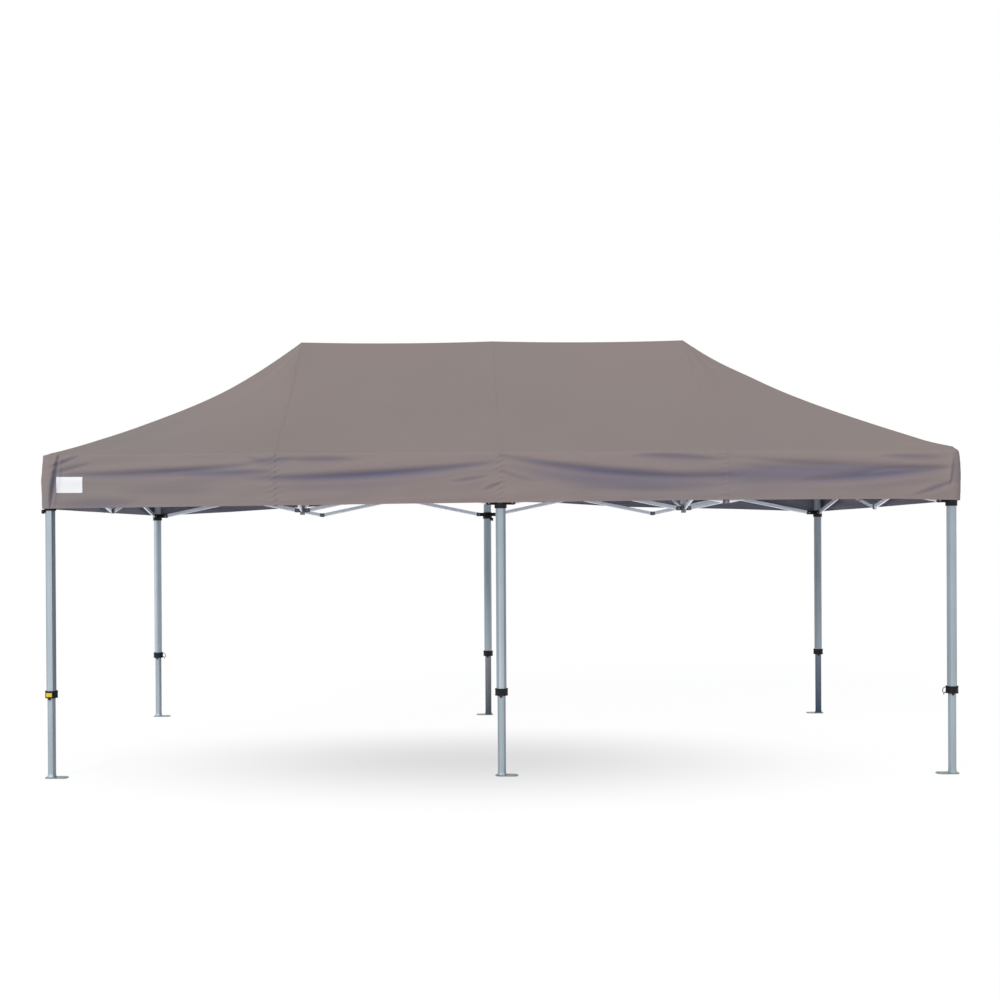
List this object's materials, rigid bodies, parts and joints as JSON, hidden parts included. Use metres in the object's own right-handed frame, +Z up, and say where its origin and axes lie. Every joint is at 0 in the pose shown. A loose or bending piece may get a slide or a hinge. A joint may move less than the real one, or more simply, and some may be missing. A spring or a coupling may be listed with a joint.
{
  "type": "folding marquee",
  "caption": "Folding hip-roof marquee: fabric canopy with a valance over a coupled scissor-truss frame, two centre poles and telescopic hexagonal legs with foot plates.",
  "frame": {"origin": "middle of the footprint, on the floor under the six foot plates", "axes": "+Z up, +X along the 6 m length to the right, -Y towards the front"},
  "size_m": [6.01, 3.03, 3.09],
  "materials": {
    "canopy_fabric": "matte",
    "leg_aluminium": "satin",
    "leg_inner_aluminium": "satin",
    "truss_aluminium": "satin",
    "black_nylon": "matte"
  },
  "bodies": {
    "rear_middle_leg": {"rear_middle_outer_leg": "leg_aluminium", "canopy": "canopy_fabric"},
    "rear_left_leg": {"rear_left_outer_leg": "leg_aluminium"},
    "rear_right_leg": {"rear_right_outer_leg": "leg_aluminium"},
    "front_left_leg": {"front_left_outer_leg": "leg_aluminium"},
    "front_middle_leg": {"front_middle_outer_leg": "leg_aluminium"},
    "front_right_leg": {"front_right_outer_leg": "leg_aluminium"},
    "rear_bar_2_rising": {"rear_bar_2_rising": "truss_aluminium"},
    "rear_bar_2_falling": {"rear_bar_2_falling": "truss_aluminium"},
    "rear_bar_1_falling": {"rear_bar_1_falling": "truss_aluminium"},
    "rear_bar_1_rising": {"rear_bar_1_rising": "truss_aluminium"},
    "rear_bar_3_falling": {"rear_bar_3_falling": "truss_aluminium"},
    "rear_bar_3_rising": {"rear_bar_3_rising": "truss_aluminium"},
    "rear_bar_4_rising": {"rear_bar_4_rising": "truss_aluminium"},
    "rear_bar_4_falling": {"rear_bar_4_falling": "truss_aluminium"},
    "rear_middle_slider": {"rear_middle_slider": "black_nylon"},
    "rear_left_slider": {"rear_left_slider": "black_nylon"},
    "rear_right_slider": {"rear_right_slider": "black_nylon"},
    "left_bar_2_rising": {"left_bar_2_rising": "truss_aluminium"},
    "left_bar_2_falling": {"left_bar_2_falling": "truss_aluminium"},
    "left_bar_1_falling": {"left_bar_1_falling": "truss_aluminium"},
    "left_bar_1_rising": {"left_bar_1_rising": "truss_aluminium"},
    "front_left_slider": {"front_left_slider": "black_nylon"},
    "right_bar_2_rising": {"right_bar_2_rising": "truss_aluminium"},
    "right_bar_2_falling": {"right_bar_2_falling": "truss_aluminium"},
    "right_bar_1_falling": {"right_bar_1_falling": "truss_aluminium"},
    "right_bar_1_rising": {"right_bar_1_rising": "truss_aluminium"},
    "front_right_slider": {"front_right_slider": "black_nylon"},
    "front_bar_1_falling": {"front_bar_1_falling": "truss_aluminium"},
    "front_bar_1_rising": {"front_bar_1_rising": "truss_aluminium"},
    "front_bar_2_rising": {"front_bar_2_rising": "truss_aluminium"},
    "front_bar_2_falling": {"front_bar_2_falling": "truss_aluminium"},
    "front_middle_slider": {"front_middle_slider": "black_nylon"},
    "front_bar_3_falling": {"front_bar_3_falling": "truss_aluminium"},
    "front_bar_3_rising": {"front_bar_3_rising": "truss_aluminium"},
    "front_bar_4_rising": {"front_bar_4_rising": "truss_aluminium"},
    "front_bar_4_falling": {"front_bar_4_falling": "truss_aluminium"},
    "rear_left_connector": {"rear_left_connector": "black_nylon"},
    "front_left_connector": {"front_left_connector": "black_nylon"},
    "rear_left_arm": {"rear_left_arm": "truss_aluminium"},
    "left_peak_pole": {"left_peak_pole": "truss_aluminium"},
    "front_left_arm": {"front_left_arm": "truss_aluminium"},
    "rear_right_connector": {"rear_right_connector": "black_nylon"},
    "front_right_connector": {"front_right_connector": "black_nylon"},
    "rear_right_arm": {"rear_right_arm": "truss_aluminium"},
    "right_peak_pole": {"right_peak_pole": "truss_aluminium"},
    "front_right_arm": {"front_right_arm": "truss_aluminium"},
    "left_side_connector": {"left_side_connector": "black_nylon"},
    "right_side_connector": {"right_side_connector": "black_nylon"},
    "left_side_arm": {"left_side_arm": "truss_aluminium"},
    "left_centre_arm": {"left_centre_arm": "truss_aluminium"},
    "centre_connector": {"centre_connector": "black_nylon"},
    "right_centre_arm": {"right_centre_arm": "truss_aluminium"},
    "right_side_arm": {"right_side_arm": "truss_aluminium"},
    "rear_left_inner_leg": {"rear_left_inner_leg": "leg_inner_aluminium"},
    "rear_middle_inner_leg": {"rear_middle_inner_leg": "leg_inner_aluminium"},
    "rear_right_inner_leg": {"rear_right_inner_leg": "leg_inner_aluminium"},
    "front_left_inner_leg": {"front_left_inner_leg": "leg_inner_aluminium"},
    "front_middle_inner_leg": {"front_middle_inner_leg": "leg_inner_aluminium"},
    "front_right_inner_leg": {"front_right_inner_leg": "leg_inner_aluminium"}
  },
  "joints": [
    {"name": "canopy_frame_fold", "type": "hinge", "parent": "rear_middle_leg", "child": "rear_bar_2_rising", "pos_m": [-0.075, 1.475, 2.08], "axis": [0, -1, 0], "range_deg": [0, 72.3], "deforming": ["canopy"]},
    {"name": "rear_bar_2_falling_cross", "type": "hinge", "parent": "rear_bar_2_rising", "child": "rear_bar_2_falling", "pos_m": [-0.775, 1.475, 1.935], "axis": [0, 1, 0], "range_deg": [0, 145.1]},
    {"name": "rear_bar_1_falling_lower_joint", "type": "hinge", "parent": "rear_bar_2_rising", "child": "rear_bar_1_falling", "pos_m": [-1.475, 1.475, 1.79], "axis": [0, 1, 0], "range_deg": [0, 145.1]},
    {"name": "rear_left_leg_at_rear_bar_1_falling", "type": "hinge", "parent": "rear_bar_1_falling", "child": "rear_left_leg", "pos_m": [-2.875, 1.475, 2.08], "axis": [0, 1, 0], "range_deg": [-72.8, 0]},
    {"name": "rear_bar_1_rising_cross", "type": "hinge", "parent": "rear_bar_1_falling", "child": "rear_bar_1_rising", "pos_m": [-2.175, 1.475, 1.935], "axis": [0, 1, 0], "range_deg": [-145.1, 0]},
    {"name": "rear_bar_3_falling_at_rear_middle", "type": "hinge", "parent": "rear_middle_leg", "child": "rear_bar_3_falling", "pos_m": [0.075, 1.475, 2.08], "axis": [0, 1, 0], "range_deg": [0, 72.8]},
    {"name": "rear_bar_3_rising_cross", "type": "hinge", "parent": "rear_bar_3_falling", "child": "rear_bar_3_rising", "pos_m": [0.775, 1.475, 1.935], "axis": [0, 1, 0], "range_deg": [-145.1, 0]},
    {"name": "rear_bar_4_rising_lower_joint", "type": "hinge", "parent": "rear_bar_3_falling", "child": "rear_bar_4_rising", "pos_m": [1.475, 1.475, 1.79], "axis": [0, 1, 0], "range_deg": [-145.1, 0]},
    {"name": "rear_right_leg_at_rear_bar_4_rising", "type": "hinge", "parent": "rear_bar_4_rising", "child": "rear_right_leg", "pos_m": [2.875, 1.475, 2.08], "axis": [0, 1, 0], "range_deg": [0, 72.8]},
    {"name": "rear_bar_4_falling_cross", "type": "hinge", "parent": "rear_bar_4_rising", "child": "rear_bar_4_falling", "pos_m": [2.175, 1.475, 1.935], "axis": [0, 1, 0], "range_deg": [0, 145.1]},
    {"name": "rear_middle_slider_at_rear_bar_2_falling", "type": "hinge", "parent": "rear_bar_2_falling", "child": "rear_middle_slider", "pos_m": [-0.075, 1.475, 1.79], "axis": [0, 1, 0], "range_deg": [-72.8, 0]},
    {"name": "rear_left_slider_at_rear_bar_1_rising", "type": "hinge", "parent": "rear_bar_1_rising", "child": "rear_left_slider", "pos_m": [-2.875, 1.475, 1.79], "axis": [0, 1, 0], "range_deg": [0, 72.8]},
    {"name": "rear_right_slider_at_rear_bar_4_falling", "type": "hinge", "parent": "rear_bar_4_falling", "child": "rear_right_slider", "pos_m": [2.875, 1.475, 1.79], "axis": [0, 1, 0], "range_deg": [-72.8, 0]},
    {"name": "left_bar_2_rising_at_rear_left", "type": "hinge", "parent": "rear_left_leg", "child": "left_bar_2_rising", "pos_m": [-2.95, 1.4, 2.08], "axis": [1, 0, 0], "range_deg": [0, 72.8]},
    {"name": "left_bar_2_falling_cross", "type": "hinge", "parent": "left_bar_2_rising", "child": "left_bar_2_falling", "pos_m": [-2.95, 0.7, 1.935], "axis": [1, 0, 0], "range_deg": [-145.1, 0]},
    {"name": "left_bar_1_falling_lower_joint", "type": "hinge", "parent": "left_bar_2_rising", "child": "left_bar_1_falling", "pos_m": [-2.95, 0, 1.79], "axis": [1, 0, 0], "range_deg": [-145.1, 0]},
    {"name": "left_bar_1_rising_cross", "type": "hinge", "parent": "left_bar_1_falling", "child": "left_bar_1_rising", "pos_m": [-2.95, -0.7, 1.935], "axis": [1, 0, 0], "range_deg": [0, 145.1]},
    {"name": "front_left_leg_at_left_bar_1_falling", "type": "hinge", "parent": "left_bar_1_falling", "child": "front_left_leg", "pos_m": [-2.95, -1.4, 2.08], "axis": [1, 0, 0], "range_deg": [0, 72.8]},
    {"name": "front_left_slider_at_left_bar_1_rising", "type": "hinge", "parent": "left_bar_1_rising", "child": "front_left_slider", "pos_m": [-2.95, -1.4, 1.79], "axis": [1, 0, 0], "range_deg": [-72.8, 0]},
    {"name": "right_bar_2_rising_at_rear_right", "type": "hinge", "parent": "rear_right_leg", "child": "right_bar_2_rising", "pos_m": [2.95, 1.4, 2.08], "axis": [1, 0, 0], "range_deg": [0, 72.8]},
    {"name": "right_bar_2_falling_cross", "type": "hinge", "parent": "right_bar_2_rising", "child": "right_bar_2_falling", "pos_m": [2.95, 0.7, 1.935], "axis": [1, 0, 0], "range_deg": [-145.1, 0]},
    {"name": "right_bar_1_falling_lower_joint", "type": "hinge", "parent": "right_bar_2_rising", "child": "right_bar_1_falling", "pos_m": [2.95, 0, 1.79], "axis": [1, 0, 0], "range_deg": [-145.1, 0]},
    {"name": "right_bar_1_rising_cross", "type": "hinge", "parent": "right_bar_1_falling", "child": "right_bar_1_rising", "pos_m": [2.95, -0.7, 1.935], "axis": [1, 0, 0], "range_deg": [0, 145.1]},
    {"name": "front_right_leg_at_right_bar_1_falling", "type": "hinge", "parent": "right_bar_1_falling", "child": "front_right_leg", "pos_m": [2.95, -1.4, 2.08], "axis": [1, 0, 0], "range_deg": [0, 72.8]},
    {"name": "front_right_slider_at_right_bar_1_rising", "type": "hinge", "parent": "right_bar_1_rising", "child": "front_right_slider", "pos_m": [2.95, -1.4, 1.79], "axis": [1, 0, 0], "range_deg": [-72.8, 0]},
    {"name": "front_bar_1_falling_at_front_left", "type": "hinge", "parent": "front_left_leg", "child": "front_bar_1_falling", "pos_m": [-2.875, -1.475, 2.08], "axis": [0, 1, 0], "range_deg": [0, 72.8]},
    {"name": "front_bar_1_rising_cross", "type": "hinge", "parent": "front_bar_1_falling", "child": "front_bar_1_rising", "pos_m": [-2.175, -1.475, 1.935], "axis": [0, 1, 0], "range_deg": [-145.1, 0]},
    {"name": "front_bar_2_rising_lower_joint", "type": "hinge", "parent": "front_bar_1_falling", "child": "front_bar_2_rising", "pos_m": [-1.475, -1.475, 1.79], "axis": [0, 1, 0], "range_deg": [-145.1, 0]},
    {"name": "front_middle_leg_at_front_bar_2_rising", "type": "hinge", "parent": "front_bar_2_rising", "child": "front_middle_leg", "pos_m": [-0.075, -1.475, 2.08], "axis": [0, 1, 0], "range_deg": [0, 72.8]},
    {"name": "front_bar_2_falling_cross", "type": "hinge", "parent": "front_bar_2_rising", "child": "front_bar_2_falling", "pos_m": [-0.775, -1.475, 1.935], "axis": [0, 1, 0], "range_deg": [0, 145.1]},
    {"name": "front_middle_slider_at_front_bar_2_falling", "type": "hinge", "parent": "front_bar_2_falling", "child": "front_middle_slider", "pos_m": [-0.075, -1.475, 1.79], "axis": [0, 1, 0], "range_deg": [-72.8, 0]},
    {"name": "front_bar_3_falling_at_front_middle", "type": "hinge", "parent": "front_middle_leg", "child": "front_bar_3_falling", "pos_m": [0.075, -1.475, 2.08], "axis": [0, 1, 0], "range_deg": [0, 72.8]},
    {"name": "front_bar_3_rising_cross", "type": "hinge", "parent": "front_bar_3_falling", "child": "front_bar_3_rising", "pos_m": [0.775, -1.475, 1.935], "axis": [0, 1, 0], "range_deg": [-145.1, 0]},
    {"name": "front_bar_4_rising_at_front_right", "type": "hinge", "parent": "front_right_leg", "child": "front_bar_4_rising", "pos_m": [2.875, -1.475, 2.08], "axis": [0, 1, 0], "range_deg": [-72.8, 0]},
    {"name": "front_bar_4_falling_cross", "type": "hinge", "parent": "front_bar_4_rising", "child": "front_bar_4_falling", "pos_m": [2.175, -1.475, 1.935], "axis": [0, 1, 0], "range_deg": [0, 145.1]},
    {"name": "rear_left_connector_at_rear_bar_2_falling", "type": "hinge", "parent": "rear_bar_2_falling", "child": "rear_left_connector", "pos_m": [-1.475, 1.475, 2.08], "axis": [0, 1, 0], "range_deg": [-72.8, 0]},
    {"name": "front_left_connector_at_front_bar_1_rising", "type": "hinge", "parent": "front_bar_1_rising", "child": "front_left_connector", "pos_m": [-1.475, -1.475, 2.08], "axis": [0, 1, 0], "range_deg": [0, 72.8]},
    {"name": "rear_left_arm_at_connector", "type": "hinge", "parent": "rear_left_connector", "child": "rear_left_arm", "pos_m": [-1.475, 1.438, 2.08], "axis": [1, 0, 0], "range_deg": [0, 72.8]},
    {"name": "left_peak_pole_at_rear_arm", "type": "hinge", "parent": "rear_left_arm", "child": "left_peak_pole", "pos_m": [-1.475, 0.038, 1.79], "axis": [1, 0, 0], "range_deg": [-72.8, 0]},
    {"name": "front_left_arm_at_peak_pole", "type": "hinge", "parent": "left_peak_pole", "child": "front_left_arm", "pos_m": [-1.475, -0.038, 1.79], "axis": [1, 0, 0], "range_deg": [-72.8, 0]},
    {"name": "rear_right_connector_at_rear_bar_3_rising", "type": "hinge", "parent": "rear_bar_3_rising", "child": "rear_right_connector", "pos_m": [1.475, 1.475, 2.08], "axis": [0, 1, 0], "range_deg": [0, 72.8]},
    {"name": "front_right_connector_at_front_bar_3_rising", "type": "hinge", "parent": "front_bar_3_rising", "child": "front_right_connector", "pos_m": [1.475, -1.475, 2.08], "axis": [0, 1, 0], "range_deg": [0, 72.8]},
    {"name": "rear_right_arm_at_connector", "type": "hinge", "parent": "rear_right_connector", "child": "rear_right_arm", "pos_m": [1.475, 1.438, 2.08], "axis": [1, 0, 0], "range_deg": [0, 72.8]},
    {"name": "right_peak_pole_at_rear_arm", "type": "hinge", "parent": "rear_right_arm", "child": "right_peak_pole", "pos_m": [1.475, 0.038, 1.79], "axis": [1, 0, 0], "range_deg": [-72.8, 0]},
    {"name": "front_right_arm_at_peak_pole", "type": "hinge", "parent": "right_peak_pole", "child": "front_right_arm", "pos_m": [1.475, -0.038, 1.79], "axis": [1, 0, 0], "range_deg": [-72.8, 0]},
    {"name": "left_side_connector_at_left_bar_2_falling", "type": "hinge", "parent": "left_bar_2_falling", "child": "left_side_connector", "pos_m": [-2.95, 0, 2.08], "axis": [1, 0, 0], "range_deg": [0, 72.8]},
    {"name": "right_side_connector_at_right_bar_2_falling", "type": "hinge", "parent": "right_bar_2_falling", "child": "right_side_connector", "pos_m": [2.95, 0, 2.08], "axis": [1, 0, 0], "range_deg": [0, 72.8]},
    {"name": "left_side_arm_at_peak_pole", "type": "hinge", "parent": "left_peak_pole", "child": "left_side_arm", "pos_m": [-1.513, 0, 1.79], "axis": [0, 1, 0], "range_deg": [0, 72.8]},
    {"name": "left_centre_arm_at_peak_pole", "type": "hinge", "parent": "left_peak_pole", "child": "left_centre_arm", "pos_m": [-1.437, 0, 1.79], "axis": [0, 1, 0], "range_deg": [-72.8, 0]},
    {"name": "centre_connector_at_left_centre_arm", "type": "hinge", "parent": "left_centre_arm", "child": "centre_connector", "pos_m": [-0.037, 0, 2.08], "axis": [0, 1, 0], "range_deg": [0, 72.8]},
    {"name": "right_centre_arm_at_peak_pole", "type": "hinge", "parent": "right_peak_pole", "child": "right_centre_arm", "pos_m": [1.437, 0, 1.79], "axis": [0, 1, 0], "range_deg": [0, 72.8]},
    {"name": "right_side_arm_at_peak_pole", "type": "hinge", "parent": "right_peak_pole", "child": "right_side_arm", "pos_m": [1.513, 0, 1.79], "axis": [0, 1, 0], "range_deg": [-72.8, 0]},
    {"name": "rear_left_leg_height", "type": "slide", "parent": "rear_left_leg", "child": "rear_left_inner_leg", "axis": [0, 0, 1], "range_m": [0, 0.45]},
    {"name": "rear_middle_leg_height", "type": "slide", "parent": "rear_middle_leg", "child": "rear_middle_inner_leg", "axis": [0, 0, 1], "range_m": [0, 0.45]},
    {"name": "rear_right_leg_height", "type": "slide", "parent": "rear_right_leg", "child": "rear_right_inner_leg", "axis": [0, 0, 1], "range_m": [0, 0.45]},
    {"name": "front_left_leg_height", "type": "slide", "parent": "front_left_leg", "child": "front_left_inner_leg", "axis": [0, 0, 1], "range_m": [0, 0.45]},
    {"name": "front_middle_leg_height", "type": "slide", "parent": "front_middle_leg", "child": "front_middle_inner_leg", "axis": [0, 0, 1], "range_m": [0, 0.45]},
    {"name": "front_right_leg_height", "type": "slide", "parent": "front_right_leg", "child": "front_right_inner_leg", "axis": [0, 0, 1], "range_m": [0, 0.45]}
  ],
  "couplings": [
    {"joint": "rear_bar_2_falling_cross", "follows": "canopy_frame_fold", "ratio": 2},
    {"joint": "rear_bar_1_falling_lower_joint", "follows": "canopy_frame_fold", "ratio": 2},
    {"joint": "rear_left_leg_at_rear_bar_1_falling", "follows": "canopy_frame_fold", "ratio": -1},
    {"joint": "rear_bar_1_rising_cross", "follows": "canopy_frame_fold", "ratio": -2},
    {"joint": "rear_bar_3_falling_at_rear_middle", "follows": "canopy_frame_fold", "ratio": 1},
    {"joint": "rear_bar_3_rising_cross", "follows": "canopy_frame_fold", "ratio": -2},
    {"joint": "rear_bar_4_rising_lower_joint", "follows": "canopy_frame_fold", "ratio": -2},
    {"joint": "rear_right_leg_at_rear_bar_4_rising", "follows": "canopy_frame_fold", "ratio": 1},
    {"joint": "rear_bar_4_falling_cross", "follows": "canopy_frame_fold", "ratio": 2},
    {"joint": "rear_middle_slider_at_rear_bar_2_falling", "follows": "canopy_frame_fold", "ratio": -1},
    {"joint": "rear_left_slider_at_rear_bar_1_rising", "follows": "canopy_frame_fold", "ratio": 1},
    {"joint": "rear_right_slider_at_rear_bar_4_falling", "follows": "canopy_frame_fold", "ratio": -1},
    {"joint": "left_bar_2_rising_at_rear_left", "follows": "canopy_frame_fold", "ratio": 1},
    {"joint": "left_bar_2_falling_cross", "follows": "canopy_frame_fold", "ratio": -2},
    {"joint": "left_bar_1_falling_lower_joint", "follows": "canopy_frame_fold", "ratio": -2},
    {"joint": "left_bar_1_rising_cross", "follows": "canopy_frame_fold", "ratio": 2},
    {"joint": "front_left_leg_at_left_bar_1_falling", "follows": "canopy_frame_fold", "ratio": 1},
    {"joint": "front_left_slider_at_left_bar_1_rising", "follows": "canopy_frame_fold", "ratio": -1},
    {"joint": "right_bar_2_rising_at_rear_right", "follows": "canopy_frame_fold", "ratio": 1},
    {"joint": "right_bar_2_falling_cross", "follows": "canopy_frame_fold", "ratio": -2},
    {"joint": "right_bar_1_falling_lower_joint", "follows": "canopy_frame_fold", "ratio": -2},
    {"joint": "right_bar_1_rising_cross", "follows": "canopy_frame_fold", "ratio": 2},
    {"joint": "front_right_leg_at_right_bar_1_falling", "follows": "canopy_frame_fold", "ratio": 1},
    {"joint": "front_right_slider_at_right_bar_1_rising", "follows": "canopy_frame_fold", "ratio": -1},
    {"joint": "front_bar_1_falling_at_front_left", "follows": "canopy_frame_fold", "ratio": 1},
    {"joint": "front_bar_1_rising_cross", "follows": "canopy_frame_fold", "ratio": -2},
    {"joint": "front_bar_2_rising_lower_joint", "follows": "canopy_frame_fold", "ratio": -2},
    {"joint": "front_middle_leg_at_front_bar_2_rising", "follows": "canopy_frame_fold", "ratio": 1},
    {"joint": "front_bar_2_falling_cross", "follows": "canopy_frame_fold", "ratio": 2},
    {"joint": "front_middle_slider_at_front_bar_2_falling", "follows": "canopy_frame_fold", "ratio": -1},
    {"joint": "front_bar_3_falling_at_front_middle", "follows": "canopy_frame_fold", "ratio": 1},
    {"joint": "front_bar_3_rising_cross", "follows": "canopy_frame_fold", "ratio": -2},
    {"joint": "front_bar_4_rising_at_front_right", "follows": "canopy_frame_fold", "ratio": -1},
    {"joint": "front_bar_4_falling_cross", "follows": "canopy_frame_fold", "ratio": 2},
    {"joint": "rear_left_connector_at_rear_bar_2_falling", "follows": "canopy_frame_fold", "ratio": -1},
    {"joint": "front_left_connector_at_front_bar_1_rising", "follows": "canopy_frame_fold", "ratio": 1},
    {"joint": "rear_left_arm_at_connector", "follows": "canopy_frame_fold", "ratio": 1},
    {"joint": "left_peak_pole_at_rear_arm", "follows": "canopy_frame_fold", "ratio": -1},
    {"joint": "front_left_arm_at_peak_pole", "follows": "canopy_frame_fold", "ratio": -1},
    {"joint": "rear_right_connector_at_rear_bar_3_rising", "follows": "canopy_frame_fold", "ratio": 1},
    {"joint": "front_right_connector_at_front_bar_3_rising", "follows": "canopy_frame_fold", "ratio": 1},
    {"joint": "rear_right_arm_at_connector", "follows": "canopy_frame_fold", "ratio": 1},
    {"joint": "right_peak_pole_at_rear_arm", "follows": "canopy_frame_fold", "ratio": -1},
    {"joint": "front_right_arm_at_peak_pole", "follows": "canopy_frame_fold", "ratio": -1},
    {"joint": "left_side_connector_at_left_bar_2_falling", "follows": "canopy_frame_fold", "ratio": 1},
    {"joint": "right_side_connector_at_right_bar_2_falling", "follows": "canopy_frame_fold", "ratio": 1},
    {"joint": "left_side_arm_at_peak_pole", "follows": "canopy_frame_fold", "ratio": 1},
    {"joint": "left_centre_arm_at_peak_pole", "follows": "canopy_frame_fold", "ratio": -1},
    {"joint": "centre_connector_at_left_centre_arm", "follows": "canopy_frame_fold", "ratio": 1},
    {"joint": "right_centre_arm_at_peak_pole", "follows": "canopy_frame_fold", "ratio": 1},
    {"joint": "right_side_arm_at_peak_pole", "follows": "canopy_frame_fold", "ratio": -1}
  ]
}
